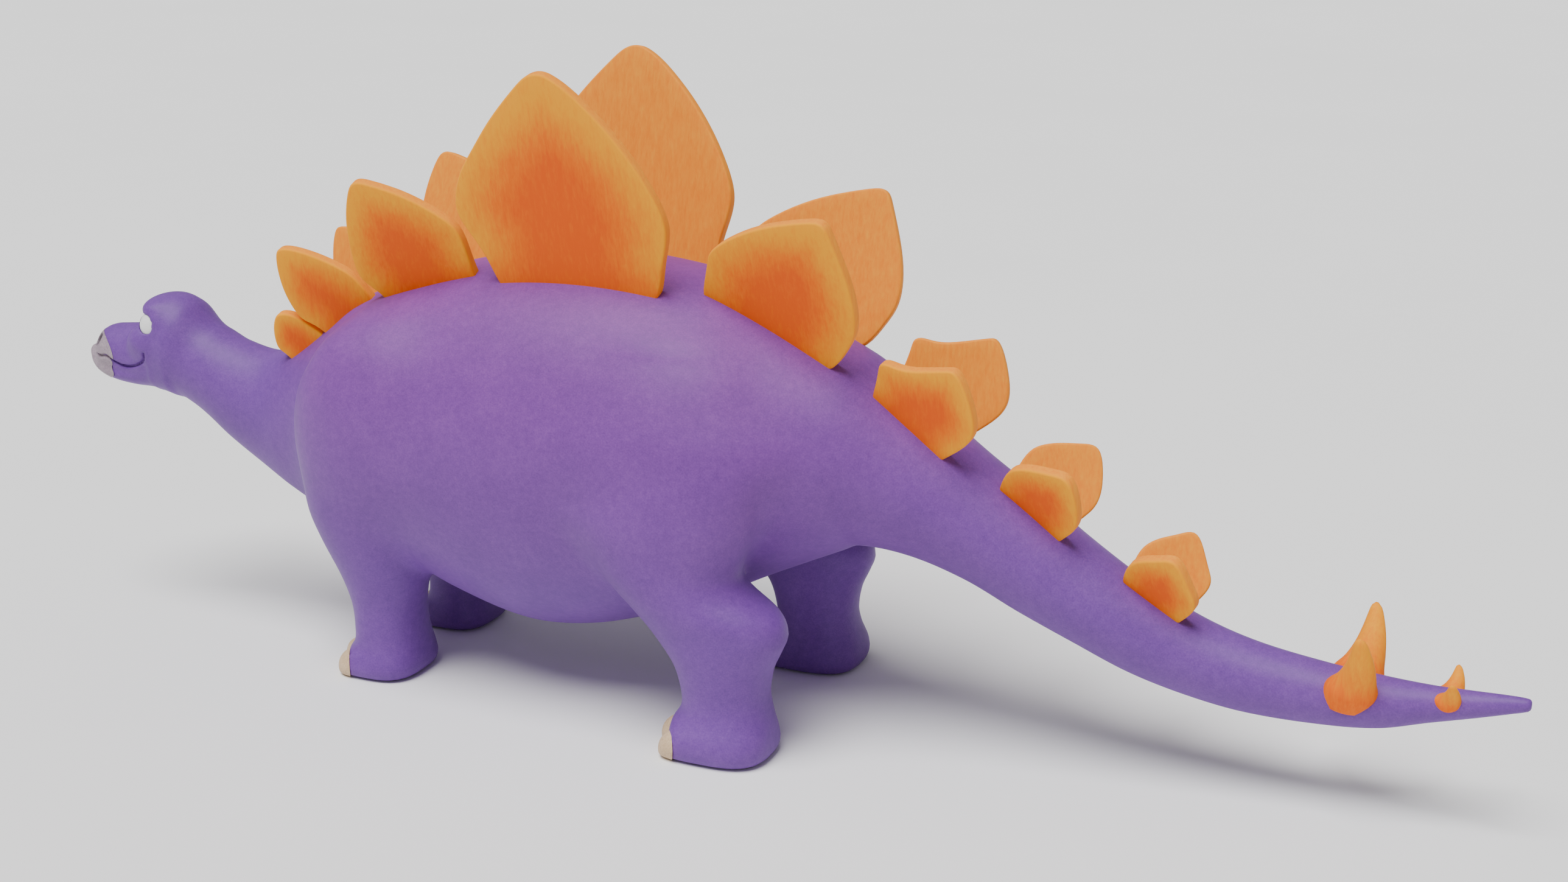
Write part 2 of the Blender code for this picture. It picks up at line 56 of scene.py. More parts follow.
# --------------------------------------------------------------------------- dimensions
# Body outline along X: x, top, bottom, half width
BODY = (
    (-256, 127, 97.5, 14),
    (-245, 127.5, 92.7, 16),
    (-238, 127.4, 89, 16.6),
    (-232, 125.4, 85, 17),
    (-222, 121, 77.5, 17.8),
    (-205, 118, 67, 19.5),
    (-195, 121, 61, 21.5),
    (-180, 130, 53.5, 26),
    (-167, 138.5, 46.5, 34.5),
    (-153, 148, 45, 45),
    (-130, 158, 40.5, 54),
    (-105, 166, 30.5, 58),
    (-75, 172, 23, 60),
    (-50, 174, 25, 60),
    (-24, 173, 33, 58),
    (0, 169, 43.5, 54),
    (25, 160, 56.5, 46),
    (52, 147, 69.5, 38),
    (60, 143, 73, 35),
    (80, 129, 71.5, 29),
    (102, 113, 65, 25),
    (122, 100, 55.5, 22.5),
    (142, 86, 47, 20),
    (163, 73, 38.5, 17.5),
    (184, 62.5, 33, 14.7),
    (205, 56, 30, 12.8),
    (231, 52, 30, 11),
    (251, 50.5, 32, 9.2),
    (268, 50, 37, 6.5),
    (282, 50.5, 41, 4.6),
    (295, 51, 45, 2.9),
    (300, 50.8, 46.5, 2),
)
# Upper muzzle and lower jaw: x, top, bottom, half width
MUZZLE = (
    (-250, 125, 97, 15.5),
    (-262, 124.2, 97, 14.6),
    (-270, 123.2, 98, 13.6),
    (-281, 122, 99.5, 12.3),
    (-286, 121.3, 100.5, 11.4),
    (-289.4, 119.8, 101.7, 9.7),
    (-291.4, 117.3, 103.1, 7.7),
    (-292.7, 113.2, 105.5, 4.9),
)
JAW = (
    (-250, 116, 95.5, 15),
    (-262, 112.5, 96.8, 13.9),
    (-270, 108.8, 96.9, 13.1),
    (-281, 108.2, 97.9, 12),
    (-289, 108.8, 100.2, 9.9),
    (-293.5, 109.4, 102.8, 7.4),
    (-296.2, 110.4, 104.9, 5),
    (-298.6, 111, 107.3, 2.5),
)
# The smile's crease as seen from the side: x, z
SMILE = (
    (-296, 112.2), (-292.6, 111), (-287, 110), (-282.3, 110.5), (-278.9, 108.8), (-273.3, 107.4),
    (-267.6, 108), (-262, 110.4), (-259.4, 113), (-259, 115),
)
NOSTRIL = ((-288.9, -7.9, 116.2), (2.3, 2.5, 3))
GREY_FROM = -290
GREY_BEND = 0.07

# Legs: z, front x, back x, inner y, outer y, for the left side with y as a distance
FRONT_LEG = (
    (0, -158, -121, 10.5, 46.5),
    (4, -158.5, -120, 10, 47),
    (8, -155, -120.2, 10.5, 46),
    (11.5, -149.7, -120.8, 11.5, 44.5),
    (20, -149, -121.8, 12.5, 43.5),
    (30, -150.5, -121.5, 12.5, 43.5),
    (42, -155, -118.5, 11, 46),
    (56, -161, -116, 9.5, 50),
    (68, -165, -113, 9.5, 53),
    (80, -166.5, -110, 10, 54.5),
    (100, -168, -106, 12, 56),
    (118, -165, -106, 15, 55),
    (132, -157, -110, 21, 50.5),
    (145, -146, -120, 27, 43),
)
HIND_LEG = (
    (0, -5.5, 40, 28.5, 64),
    (5, -6.5, 40.8, 28, 65),
    (9, -4, 40.6, 28.5, 64.5),
    (13, 1.8, 39.8, 29.5, 62.5),
    (18, 4.8, 38.4, 30, 60.5),
    (24, 4.6, 37.6, 30, 60),
    (34, 1.5, 39.4, 29, 61),
    (42, -4.5, 43, 28, 62),
    (48, -10, 45, 27, 62.5),
    (55, -17, 42, 26, 63.5),
    (63, -25, 30.5, 25, 64),
    (70, -31, 26, 24, 64.5),
    (90, -47, 33, 18, 64.5),
    (113, -44, 36, 16, 59),
    (133, -26, 20, 20, 48),
    (146, -14, 8, 26, 38),
)
FOOT_EDGE = 3              # rounding of a foot's lower edge
# Toes: middle of the foot, where the beige starts, height of the region and spacing of the lobes
FRONT_TOES = (28, -150.5)
HIND_TOES = (46, 2.2)
CAP_TOP = 15
TOE_BEND = 0.017
TOE_PITCH = 12.6
TOE_SIZE = (10, 7.2, 8.6)

# Where the pieces of the skin meet
NECK_CUT = -192
TAIL_CUT = 50
TIP_CUT = 152

EYE = Vector((-257.2, -8.6, 125.6))
EYE_RADIUS = 6.8
EYE_AXIS = Vector((-0.96, -0.22, 0.12)).normalized()
LID_PLACE = (-255, -7.4, 126)
LID_RADIUS = 7.6
PUPIL_ANGLE = math.radians(27)
PUPIL_LIFT = 0.12            # how far the pupil stands above the white
WHITE_ANGLE = math.radians(125)
EYE_SIDES = 48
EYE_ROWS = 28

# Plates: base point of the left row, slope of the back, outward lean, outline along and up
PLATE_HALF = 2.25
PLATE_EDGE = 0.9
PLATE_ROOT = 1.7            # how much deeper a plate goes than its base line shows
PLATE_BEVEL_STEPS = 5
PLATE_FACE_RINGS = (0.86, 0.7, 0.54, 0.38, 0.22, 0.08)
PLATE_SOFTENING = 5          # rounds of smoothing of the outline
PLATES = (
    ((-185, -11, 122), -30, 14, (
        (-0.5, -4), (-3.5, 2), (-5, 6.5), (-1.6, 13), (2.6, 17), (5.8, 17.8), (9.3, 16),
        (12.4, 12.5), (16.5, 4.5), (19, -3.5), (10, -5))),
    ((-165, -12.5, 137), -36, 13.5, (
        (-2, -6.5), (-6.2, 3), (-9.9, 10), (-8, 20.5), (-3.7, 29), (1.2, 35.1), (4.7, 36.3),
        (9.7, 32.5), (16, 24.5), (21.6, 14.5), (23.2, 6.5), (21.5, -5.5), (10, -7.5))),
    ((-125, -18.5, 157), -22, 17.5, (
        (-6, -8), (-12, 2), (-16.6, 11), (-13.3, 23), (-7.4, 35), (0.5, 44.8), (5, 47),
        (10, 44.5), (21.6, 35), (32, 21.6), (34.4, 13.5), (31.8, 1.5), (28, -7), (11, -8))),
    ((-55, -24, 170), 0, 11.3, (
        (-20.5, -8), (-30.5, 6.5), (-38.8, 19), (-39.8, 27.5), (-36, 38), (-29, 48),
        (-19.6, 60.4), (-7.9, 72.7), (-2.5, 77.2), (2.2, 78.5), (7, 77.2), (14.8, 71.8),
        (25.8, 60.9), (34.4, 49.9), (41.1, 38.9), (46.1, 27.7), (46.8, 19), (43.5, 7),
        (37.5, -6), (8, -8))),
    ((25, -14.8, 155), 27, 17.2, (
        (-24, -4.5), (-29.4, 10.5), (-29.8, 20), (-17.7, 37.7), (-1.6, 52), (4.9, 55.5),
        (10.4, 51.3), (23.7, 37), (30.8, 24), (31, 13), (26.5, -1), (3, -4))),
    ((85, -14, 122), 38, 15.5, (
        (-18, -6), (-25, 6.5), (-27.4, 13.2), (-19, 17.8), (-8.7, 29.3), (-4.4, 32.7),
        (3.5, 28.6), (12.2, 21), (15, 13.5), (12.8, 3), (8, -5), (-5, -6))),
    ((130, -8.2, 93), 38, 24, (
        (-17, -4.5), (-21.8, 7), (-18.4, 15), (-11, 21.9), (-3.9, 26.4), (5, 18.7),
        (9.5, 10.8), (9, 3), (6.5, -4), (-5, -5))),
    ((170, -4.9, 68), 36, 24, (
        (-11, -2), (-14.8, 6), (-13.4, 12.7), (-9, 19), (-3.8, 24.7), (6.3, 18.3),
        (12, 13.8), (12.2, 5.5), (10, -1.5), (0, -2.5))),
)
TAIL_PLATES_FROM = 6

# Spikes: root inside the tail, tip, half length and half width at the root
SPIKES = (
    ((239, -5, 42), (245, -18.3, 70.5), 9.5, 6.5),
    ((272, -2.5, 45), (275, -9.7, 55.3), 5, 3.5),
)
SPIKE_PROFILE = ((0, 1), (0.2, 0.95), (0.33, 0.76), (0.5, 0.6), (0.72, 0.43),
                 (0.88, 0.29), (0.96, 0.19), (1, 0.05))
SPIKE_SIDES = 28

# Floor in metres, sky fill, and the sun's strength, spread and direction
FLOOR_HALF = 6
FILL_LIGHT = 0.3
SUN_STRENGTH = 4.3
SUN_SPREAD_DEG = 38
SUN_WAY = (0.12, 0.36, -1)

# Camera, in metres and degrees, at the photograph's viewing angle
CAMERA_PLACE = (0.3323, -0.7179, 0.3591)
CAMERA_PITCH = 72.16
CAMERA_YAW = 23.16
CAMERA_LENS = 50
CAMERA_SENSOR = 36


# --------------------------------------------------------------------------- smooth fields
def smooth_table(stations, step=0.5):
    """Finely spaced rows of a smooth curve through the stations, for interpolation."""
    rows = np.array(sorted(stations), float)
    keys = rows[:, 0]
    slopes = np.empty_like(rows)
    slopes[1:-1] = (rows[2:] - rows[:-2]) / (keys[2:] - keys[:-2])[:, None]
    slopes[0] = (rows[1] - rows[0]) / (keys[1] - keys[0])
    slopes[-1] = (rows[-1] - rows[-2]) / (keys[-1] - keys[-2])
    places = np.arange(keys[0], keys[-1] + step / 2, step)
    k = np.clip(np.searchsorted(keys, places, side="right") - 1, 0, len(keys) - 2)
    span = (keys[k + 1] - keys[k])[:, None]
    t = ((places - keys[k]))[:, None] / span
    values = ((2 * t**3 - 3 * t**2 + 1) * rows[k] + (t**3 - 2 * t**2 + t) * slopes[k] * span
              + (3 * t**2 - 2 * t**3) * rows[k + 1] + (t**3 - t**2) * slopes[k + 1] * span)
    return places, values[:, 1:].T


BODY_TABLE = smooth_table(BODY)
FRONT_TABLE = smooth_table(FRONT_LEG)
HIND_TABLE = smooth_table(HIND_LEG)
MUZZLE_TABLE = smooth_table(MUZZLE)
JAW_TABLE = smooth_table(JAW)
SMILE_X, (SMILE_Z,) = smooth_table(SMILE)
SMILE_LINE = np.stack([SMILE_X, SMILE_Z], 1)


def join(a, b, k):
    """Union of two fields with a fillet about k wide."""
    h = np.clip(0.5 + 0.5 * (b - a) / k, 0, 1)
    return b * (1 - h) + a * h - k * h * (1 - h)


def carve(a, b, k):
    """Field a kept only where b is negative too, with an edge about k wide."""
    return -join(-a, -b, k)


def ellipsoid(p, centre, radii, tilt=0):
    """A ball squeezed to three radii. Tilt turns it about Y, in degrees, nose up."""
    q = p - np.array(centre, float)
    if tilt:
        c, s = math.cos(math.radians(tilt)), math.sin(math.radians(tilt))
        q = np.stack([q[:, 0] * c - q[:, 2] * s, q[:, 1], q[:, 0] * s + q[:, 2] * c], 1)
    r = np.array(radii, float)
    near = np.linalg.norm(q / r, axis=1)
    steep = np.linalg.norm(q / r**2, axis=1)
    return near * (near - 1) / np.maximum(steep, 1e-9)


def loft_field(p, table):
    """Oval sections along X, closed at both ends."""
    places, (top, bottom, width) = table
    x = np.clip(p[:, 0], places[0], places[-1])
    t, b, w = (np.interp(x, places, v) for v in (top, bottom, width))
    h = (t - b) / 2
    q = np.hypot(p[:, 1] / w, (p[:, 2] - (t + b) / 2) / h)
    field = (q - 1) * np.minimum(w, h)
    beyond = np.maximum(places[0] - p[:, 0], p[:, 0] - places[-1])
    return carve(field, beyond, 1.5)


def body_field(p):
    """The trunk, from the skull's root to the tail's tip."""
    return loft_field(p, BODY_TABLE)


def leg_field(p, table):
    """One pair of legs, squarer at the foot than above it."""
    places, (front, back, inner, outer) = table
    z = np.clip(p[:, 2], places[0], places[-1])
    f, k, i, o = (np.interp(z, places, v) for v in (front, back, inner, outer))
    a, b = (k - f) / 2, (o - i) / 2
    u = np.abs(p[:, 0] - (f + k) / 2) / a
    v = np.abs(np.abs(p[:, 1]) - (i + o) / 2) / b
    power = np.interp(z, (5, 14, 40), (3, 2.4, 2.1))
    field = ((u**power + v**power) ** (1 / power) - 1) * np.minimum(a, b)
    field = carve(field, -p[:, 2], FOOT_EDGE)
    return carve(field, p[:, 2] - places[-1], 12)


def toe_wall(p, toes):
    """Negative ahead of the curved seam where a foot's beige toes start."""
    middle, start = toes
    return p[:, 0] - start - TOE_BEND * (np.abs(p[:, 1]) - middle) ** 2


def legs_field(p, table, toes):
    """A pair of legs, sunk in where the toes cover it."""
    ahead = -np.maximum(toe_wall(p, toes), p[:, 2] - CAP_TOP)
    return leg_field(p, table) + 5 * np.clip((ahead - 0.2) / 1.5, 0, 1)


def lobes_field(table, toes):
    """Three rounded toes that fill the front of a foot."""
    middle, start = toes

    def field(p):
        q = np.stack([p[:, 0], np.abs(p[:, 1]), p[:, 2]], 1)
        lobes = ellipsoid(q, (start + 3, middle, 2.8), TOE_SIZE)
        for side in (-1, 1):
            lobe = ellipsoid(q, (start + 7.6, middle + side * TOE_PITCH, 2.8), TOE_SIZE)
            lobes = join(lobes, lobe, 1.2)
        return carve(lobes, leg_field(p, table) - 0.3, 0.8)
    return field


def groove(p, line, width, depth):
    """How deep a stitched crease pulls the skin in, for a line seen from the side."""
    q = p[:, (0, 2)]
    nearest = np.full(len(p), 1e9)
    for a, b in zip(line[:-1], line[1:]):
        t = np.clip(((q - a) @ (b - a)) / ((b - a) @ (b - a)), 0, 1)
        nearest = np.minimum(nearest, np.linalg.norm(q - a - t[:, None] * (b - a), axis=1))
    return depth * np.exp(-((nearest / width) ** 2))


def mirrored(p):
    """Points folded onto the left side."""
    return np.stack([p[:, 0], -np.abs(p[:, 1]), p[:, 2]], 1)


def head_field(p):
    """Skull, overhanging brow, muzzle, jaw and the lids around the eyes."""
    skull = ellipsoid(p, (-249, 0, 117.5), (13, 17.2, 19.6))
    brow = ellipsoid(p, (-257.4, 0, 132.6), (8.2, 13, 4.8), -5)
    field = join(skull, brow, 5)
    cheeks = ellipsoid(mirrored(p), (-261.5, -9.6, 118.2), (9, 7.4, 7.6))
    field = join(field, cheeks, 5)
    lids = np.linalg.norm(mirrored(p) - np.array(LID_PLACE), axis=1) - LID_RADIUS
    field = join(field, lids, 3)
    field = join(field, loft_field(p, MUZZLE_TABLE), 3)
    jaw = loft_field(p, JAW_TABLE)
    field = join(field, jaw, 1.5)
    near = (np.abs(field) < 6) & (p[:, 0] < -252)
    swell = groove(p[near], SMILE_LINE, 2.6, -0.4) + groove(p[near], SMILE_LINE, 0.6, 1.8)
    field[near] += swell
    return field


def socket_field(p):
    """The socket that an eye sits in."""
    return np.linalg.norm(mirrored(p) - np.array(EYE), axis=1) - (EYE_RADIUS + 0.15)


def toy_field(p):
    """The whole stuffed skin. Fillets are tight low down and broad where limbs melt away."""
    x, z = p[:, 0], p[:, 2]
    field = body_field(p)
    broad = np.interp(z, (40, 60, 90), (4, 8, 16))
    fillet = 5 + (broad - 5) * np.interp(x, (-170, -140), (0, 1))
    field = join(field, legs_field(p, FRONT_TABLE, FRONT_TOES), fillet)
    fillet = np.interp(z, (60, 95, 120), (5, 6, 15)) * np.interp(x, (0, 30), (1, 0.8))
    return join(field, legs_field(p, HIND_TABLE, HIND_TOES), fillet)


def front_field(p):
    """The neck and head."""
    field = join(body_field(p), head_field(p), 5)
    place, size = NOSTRIL
    field = carve(field, -ellipsoid(mirrored(p), place, size), 0.8)
    return carve(field, -socket_field(p), 0.6)


def snout_field(p):
    """The skin of the snout's end, a little proud of the rest."""
    return front_field(p) - 0.15


def slope(field, p, reach=0.05):
    """Gradient of a field."""
    out = np.empty_like(p)
    for axis in range(3):
        shift = np.zeros(3)
        shift[axis] = reach
        out[:, axis] = (field(p + shift) - field(p - shift)) / (2 * reach)
    return out


def settle(field, p, rounds=3):
    """Moves points onto the surface where the field is zero."""
    for _ in range(rounds):
        g = slope(field, p)
        p = p - g * (field(p) / np.maximum((g * g).sum(1), 1e-6))[:, None]
    return p


def surface_net(field, low, high, step):
    """Points and quads of the field's zero surface inside a box, by a surface net."""
    axes = [np.arange(a, b + step, step) for a, b in zip(low, high)]
    shape = tuple(len(a) for a in axes)
    mesh = np.stack(np.meshgrid(*axes, indexing="ij"), -1)
    grid = field(mesh.reshape(-1, 3)).reshape(shape)
    inside = grid < 0
    cells = tuple(n - 1 for n in shape)
    total = np.zeros(cells + (3,))
    count = np.zeros(cells)
    crossings = []
    for axis in range(3):
        a = [slice(None)] * 3
        b = [slice(None)] * 3
        a[axis] = slice(0, -1)
        b[axis] = slice(1, None)
        a, b = tuple(a), tuple(b)
        cross = inside[a] != inside[b]
        t = np.where(cross, grid[a] / np.where(cross, grid[a] - grid[b], 1), 0)
        place = np.where(cross[..., None], mesh[a] + (mesh[b] - mesh[a]) * t[..., None], 0)
        sides = [i for i in range(3) if i != axis]
        for first in (0, 1):
            for second in (0, 1):
                pick = [slice(None)] * 3
                pick[sides[0]] = slice(first, cells[sides[0]] + first)
                pick[sides[1]] = slice(second, cells[sides[1]] + second)
                total += place[tuple(pick)]
                count += cross[tuple(pick)]
        crossings.append((cross, inside[a]))
    mixed = count > 0
    index = np.full(cells, -1)
    index[mixed] = np.arange(mixed.sum())
    points = total[mixed] / count[mixed][:, None]
    quads = []
    for axis, (cross, starts_in) in enumerate(crossings):
        sides = [i for i in range(3) if i != axis]
        where = np.argwhere(cross)
        keep = np.ones(len(where), bool)
        for side in sides:
            keep &= (where[:, side] > 0) & (where[:, side] < cells[side])
        where = where[keep]
        corner = []
        for first, second in ((1, 1), (0, 1), (0, 0), (1, 0)):
            cell = where.copy()
            cell[:, sides[0]] -= first
            cell[:, sides[1]] -= second
            corner.append(index[tuple(cell.T)])
        quad = np.stack(corner, 1)
        flip = starts_in[tuple(where.T)] == (axis == 1)
        quad[flip] = quad[flip][:, ::-1]
        quads.append(quad)
    return points, np.concatenate(quads)


def relax(field, points, quads, rounds=3):
    """Evens out the quads, keeping the points on the surface."""
    edges = np.concatenate([quads[:, [i, (i + 1) % 4]] for i in range(4)])
    for _ in range(rounds):
        total = np.zeros_like(points)
        count = np.zeros(len(points))
        for a, b in ((0, 1), (1, 0)):
            np.add.at(total, edges[:, a], points[edges[:, b]])
            np.add.at(count, edges[:, a], 1)
        mean = total / np.maximum(count, 1)[:, None]
        full = count > 5
        points[full] += 0.5 * (mean[full] - points[full])
        points = settle(field, points, 1)
    return settle(field, points, 2)


# --------------------------------------------------------------------------- mesh helpers
def link(name, mesh):
    """A shown object for a mesh."""
    piece = bpy.data.objects.new(name, mesh)
    bpy.context.scene.collection.objects.link(piece)
    return piece


def mesh_from(name, points, faces, material):
    """A smooth-shaded piece from points in millimetres."""
    mesh = bpy.data.meshes.new(name)
    mesh.from_pydata((np.asarray(points) * MM).tolist(), [], [list(map(int, f)) for f in faces])
    mesh.shade_smooth()
    mesh.materials.append(material)
    return link(name, mesh)


def ring_walls(rows, sides):
    """Faces of a closed solid made of rings of equal size, with a lid at both ends."""
    faces = []
    for row in range(rows - 1):
        low, high = row * sides, (row + 1) * sides
        for i in range(sides):
            j = (i + 1) % sides
            faces.append((low + i, low + j, high + j, high + i))
    last = (rows - 1) * sides
    faces.append(tuple(range(sides))[::-1])
    faces.append(tuple(range(last, last + sides)))
    return faces


def face_outward(piece):
    """Turns every face of a closed piece outward."""
    work = bmesh.new()
    work.from_mesh(piece.data)
    bmesh.ops.recalc_face_normals(work, faces=work.faces)
    work.to_mesh(piece.data)
    work.free()


def store(piece, name, values):
    """A named value at each of a mesh's points."""
    attribute = piece.data.attributes.new(name, "FLOAT", "POINT")
    attribute.data.foreach_set("value", np.asarray(values, np.float32))


def trim(piece, point, outward):
    """Cuts a piece off at a plane, keeping what lies behind outward."""
    work = bmesh.new()
    work.from_mesh(piece.data)
    geometry = work.verts[:] + work.edges[:] + work.faces[:]
    bmesh.ops.bisect_plane(work, geom=geometry, dist=1e-7, plane_co=Vector(point) * MM,
                           plane_no=outward, clear_outer=True)
    work.to_mesh(piece.data)
    work.free()


def trim_bent(piece, start, bend, middle=0.0):
    """Cuts a piece off at a seam that curves back from its middle, and turns the rim inward."""
    def shear(amount):
        for vertex in piece.data.vertices:
            away = abs(vertex.co.y) / MM - middle
            vertex.co.x += amount * bend * away**2 * MM

    shear(-1)
    trim(piece, (start, 0, 0), (1, 0, 0))
    work = bmesh.new()
    work.from_mesh(piece.data)
    rim = [edge for edge in work.edges if edge.is_boundary]
    made = bmesh.ops.extrude_edge_only(work, edges=rim)["geom"]
    points = [item for item in made if isinstance(item, bmesh.types.BMVert)]
    centre = sum((point.co for point in points), Vector()) / len(points)
    for point in points:
        point.co += (centre - point.co).normalized() * 1.2 * MM
    work.to_mesh(piece.data)
    work.free()
    shear(1)


def positions(piece):
    """A piece's points in millimetres."""
    out = np.empty(len(piece.data.vertices) * 3)
    piece.data.vertices.foreach_get("co", out)
    return out.reshape(-1, 3) / MM


def shade_by(piece, field, planes):
    """Keeps the shading of a piece's cut edges equal to its neighbour's."""
    p = positions(piece)
    normals = np.empty(len(p) * 3)
    piece.data.vertices.foreach_get("normal", normals)
    normals = normals.reshape(-1, 3)
    near = np.zeros(len(p), bool)
    for x in planes:
        near |= np.abs(p[:, 0] - x) < 3
    g = slope(field, p[near])
    normals[near] = g / np.linalg.norm(g, axis=1)[:, None]
    piece.data.normals_split_custom_set_from_vertices(normals.tolist())


def cut_surface(name, field, low, high, step, material):
    """One piece of skin: the field's surface inside a box."""
    points, quads = surface_net(field, low, high, step * COARSE)
    points = relax(field, points, quads)
    return mesh_from(name, points, quads, material)


# --------------------------------------------------------------------------- materials
class Nodes:
    """Short forms for building one material's node tree."""

    def __init__(self, name):
        self.material = bpy.data.materials.new(name)
        self.material.use_nodes = True
        self.tree = self.material.node_tree
        self.shader = self.tree.nodes["Principled BSDF"]
        self.where = self.add("ShaderNodeTexCoord").outputs["Object"]

    def add(self, kind, **settings):
        node = self.tree.nodes.new(kind)
        for key, value in settings.items():
            setattr(node, key, value)
        return node

    def join(self, source, target):
        self.tree.links.new(source, target)

    def set(self, **values):
        for key, value in values.items():
            self.shader.inputs[key.replace("_", " ")].default_value = value

    def stretched(self, scale):
        """Object coordinates stretched by a scale for each axis."""
        node = self.add("ShaderNodeMapping")
        node.inputs["Scale"].default_value = scale
        self.join(self.where, node.inputs["Vector"])
        return node.outputs["Vector"]

    def noise(self, scale, detail=3, rough=0.6, vector=None):
        node = self.add("ShaderNodeTexNoise")
        node.inputs["Scale"].default_value = scale
        node.inputs["Detail"].default_value = detail
        node.inputs["Roughness"].default_value = rough
        self.join(vector or self.where, node.inputs["Vector"])
        return node.outputs["Fac"]

    def ramp(self, source, stops):
        node = self.add("ShaderNodeValToRGB")
        ramp = node.color_ramp
        while len(ramp.elements) < len(stops):
            ramp.elements.new(0.5)
        for element, (place, colour) in zip(ramp.elements, stops):
            element.position = place
            element.color = (*colour, 1)
        self.join(source, node.inputs["Fac"])
        return node.outputs["Color"]

    def math(self, operation, a, b, clamp=False):
        node = self.add("ShaderNodeMath", operation=operation, use_clamp=clamp)
        for socket, value in zip(node.inputs, (a, b)):
            if isinstance(value, (int, float)):
                socket.default_value = value
            else:
                self.join(value, socket)
        return node.outputs[0]

    def mix(self, factor, a, b, blend="MIX"):
        node = self.add("ShaderNodeMix", data_type="RGBA", blend_type=blend)
        for socket, value in ((node.inputs[0], factor), (node.inputs[6], a), (node.inputs[7], b)):
            if isinstance(value, (int, float)):
                socket.default_value = value
            elif isinstance(value, tuple):
                socket.default_value = (*value, 1)
            else:
                self.join(value, socket)
        return node.outputs[2]

    def attribute(self, name):
        return self.add("ShaderNodeAttribute", attribute_name=name).outputs["Fac"]

    def bump(self, height, strength, distance):
        node = self.add("ShaderNodeBump")
        node.inputs["Strength"].default_value = strength
        node.inputs["Distance"].default_value = distance
        self.join(height, node.inputs["Height"])
        self.join(node.outputs["Normal"], self.shader.inputs["Normal"])


def velour(name, dark, mid, light, sheen_tint, painted_plate_reflection=None):
    """Short-pile velour: a fine mottled pile with a soft sheen, and if asked a painted reflection of
    the orange plates, a redder tint along the back.
    """
    n = Nodes(name)
    pile = n.noise(1700, 2, 0.6)
    tufts = n.noise(420, 3, 0.6)
    patches = n.noise(45, 3, 0.55)
    blend = n.math("ADD", n.math("MULTIPLY", pile, 0.45), n.math("MULTIPLY", tufts, 0.3))
    blend = n.math("ADD", blend, n.math("MULTIPLY", patches, 0.25))
    colour = n.ramp(blend, ((0.36, dark), (0.5, mid), (0.64, light)))
    # Painted reflection: the top of the back is tinted redder, standing in for light bounced off the
    # orange plates.
    if painted_plate_reflection:
        parts = n.add("ShaderNodeSeparateXYZ")
        n.join(n.where, parts.inputs[0])
        x, z = parts.outputs["X"], parts.outputs["Z"]
        high = n.math("DIVIDE", n.math("SUBTRACT", z, 0.05), 0.11, True)
        ahead = n.math("DIVIDE", n.math("ADD", x, 0.2), 0.05, True)
        behind = n.math("DIVIDE", n.math("SUBTRACT", 0.2, x), 0.16, True)
        amount = n.math("MULTIPLY", high, n.math("MULTIPLY", ahead, behind))
        colour = n.mix(n.math("MULTIPLY", amount, 0.75), colour, painted_plate_reflection, "MULTIPLY")
    # Painted shade: near-black colour inside the nostril, where shade falls in the recess.
    colour = n.mix(n.attribute("painted_nostril_shade"), colour, (0.02, 0.014, 0.02))
    n.join(colour, n.shader.inputs["Base Color"])
    rough = n.math("ADD", n.math("MULTIPLY", pile, 0.2), 0.45)
    n.join(rough, n.shader.inputs["Roughness"])
    n.set(Sheen_Weight=0.06, Sheen_Roughness=0.5, Sheen_Tint=(*sheen_tint, 1),
          Specular_IOR_Level=0.33)
    n.bump(n.math("ADD", n.math("MULTIPLY", pile, 0.6), n.math("MULTIPLY", tufts, 0.4)), 0.3, 0.0003)
    return n.material


def felt():
    """Brushed orange felt: streaks along its height, a red-orange heart on its outer face."""
    n = Nodes("orange_felt")
    streak = n.noise(1, 4, 0.65, n.stretched((700, 700, 36)))
    fine = n.noise(1, 2, 0.6, n.stretched((1500, 1500, 160)))
    grain = n.math("ADD", n.math("MULTIPLY", streak, 0.65), n.math("MULTIPLY", fine, 0.35))
    shift = n.math("MULTIPLY", n.math("SUBTRACT", grain, 0.5), 1.1)
    heart = n.math("ADD", n.attribute("heart"), shift, True)
    outer = n.ramp(heart, ((0.0, (0.95, 0.37, 0.004)), (0.3, (0.91, 0.28, 0.004)),
                           (0.62, (0.88, 0.17, 0.003)), (1.0, (0.80, 0.105, 0.003))))
    inner = n.ramp(grain, ((0.3, (0.87, 0.235, 0.014)), (0.5, (0.92, 0.3, 0.02)),
                           (0.7, (0.945, 0.37, 0.028))))
    colour = n.mix(n.attribute("inner"), outer, inner)
    n.join(colour, n.shader.inputs["Base Color"])
    n.join(n.math("ADD", n.math("MULTIPLY", grain, 0.2), 0.55), n.shader.inputs["Roughness"])
    n.set(Sheen_Weight=0.04, Sheen_Roughness=0.5, Sheen_Tint=(1, 0.6, 0.2, 1),
          Specular_IOR_Level=0.12)
    n.bump(grain, 0.3, 0.0003)
    return n.material


def gloss(name, colour, roughness):
    """Polished moulded plastic with faint moulding ripple."""
    n = Nodes(name)
    ripple = n.noise(260, 2, 0.5)
    tint = tuple(c * 0.93 for c in colour)
    n.join(n.ramp(ripple, ((0.35, tint), (0.65, colour))), n.shader.inputs["Base Color"])
    n.join(n.math("ADD", n.math("MULTIPLY", ripple, 0.06), roughness), n.shader.inputs["Roughness"])
    n.set(Coat_Weight=0.4, Coat_Roughness=0.08)
    n.bump(ripple, 0.05, 0.0001)
    return n.material


def floor_paint():
    """The plain pale floor."""
    n = Nodes("pale_floor")
    n.join(n.ramp(n.noise(3), ((0.3, (0.9, 0.9, 0.9)), (0.7, (0.93, 0.93, 0.93)))),
           n.shader.inputs["Base Color"])
    n.set(Roughness=0.9)
    return n.material
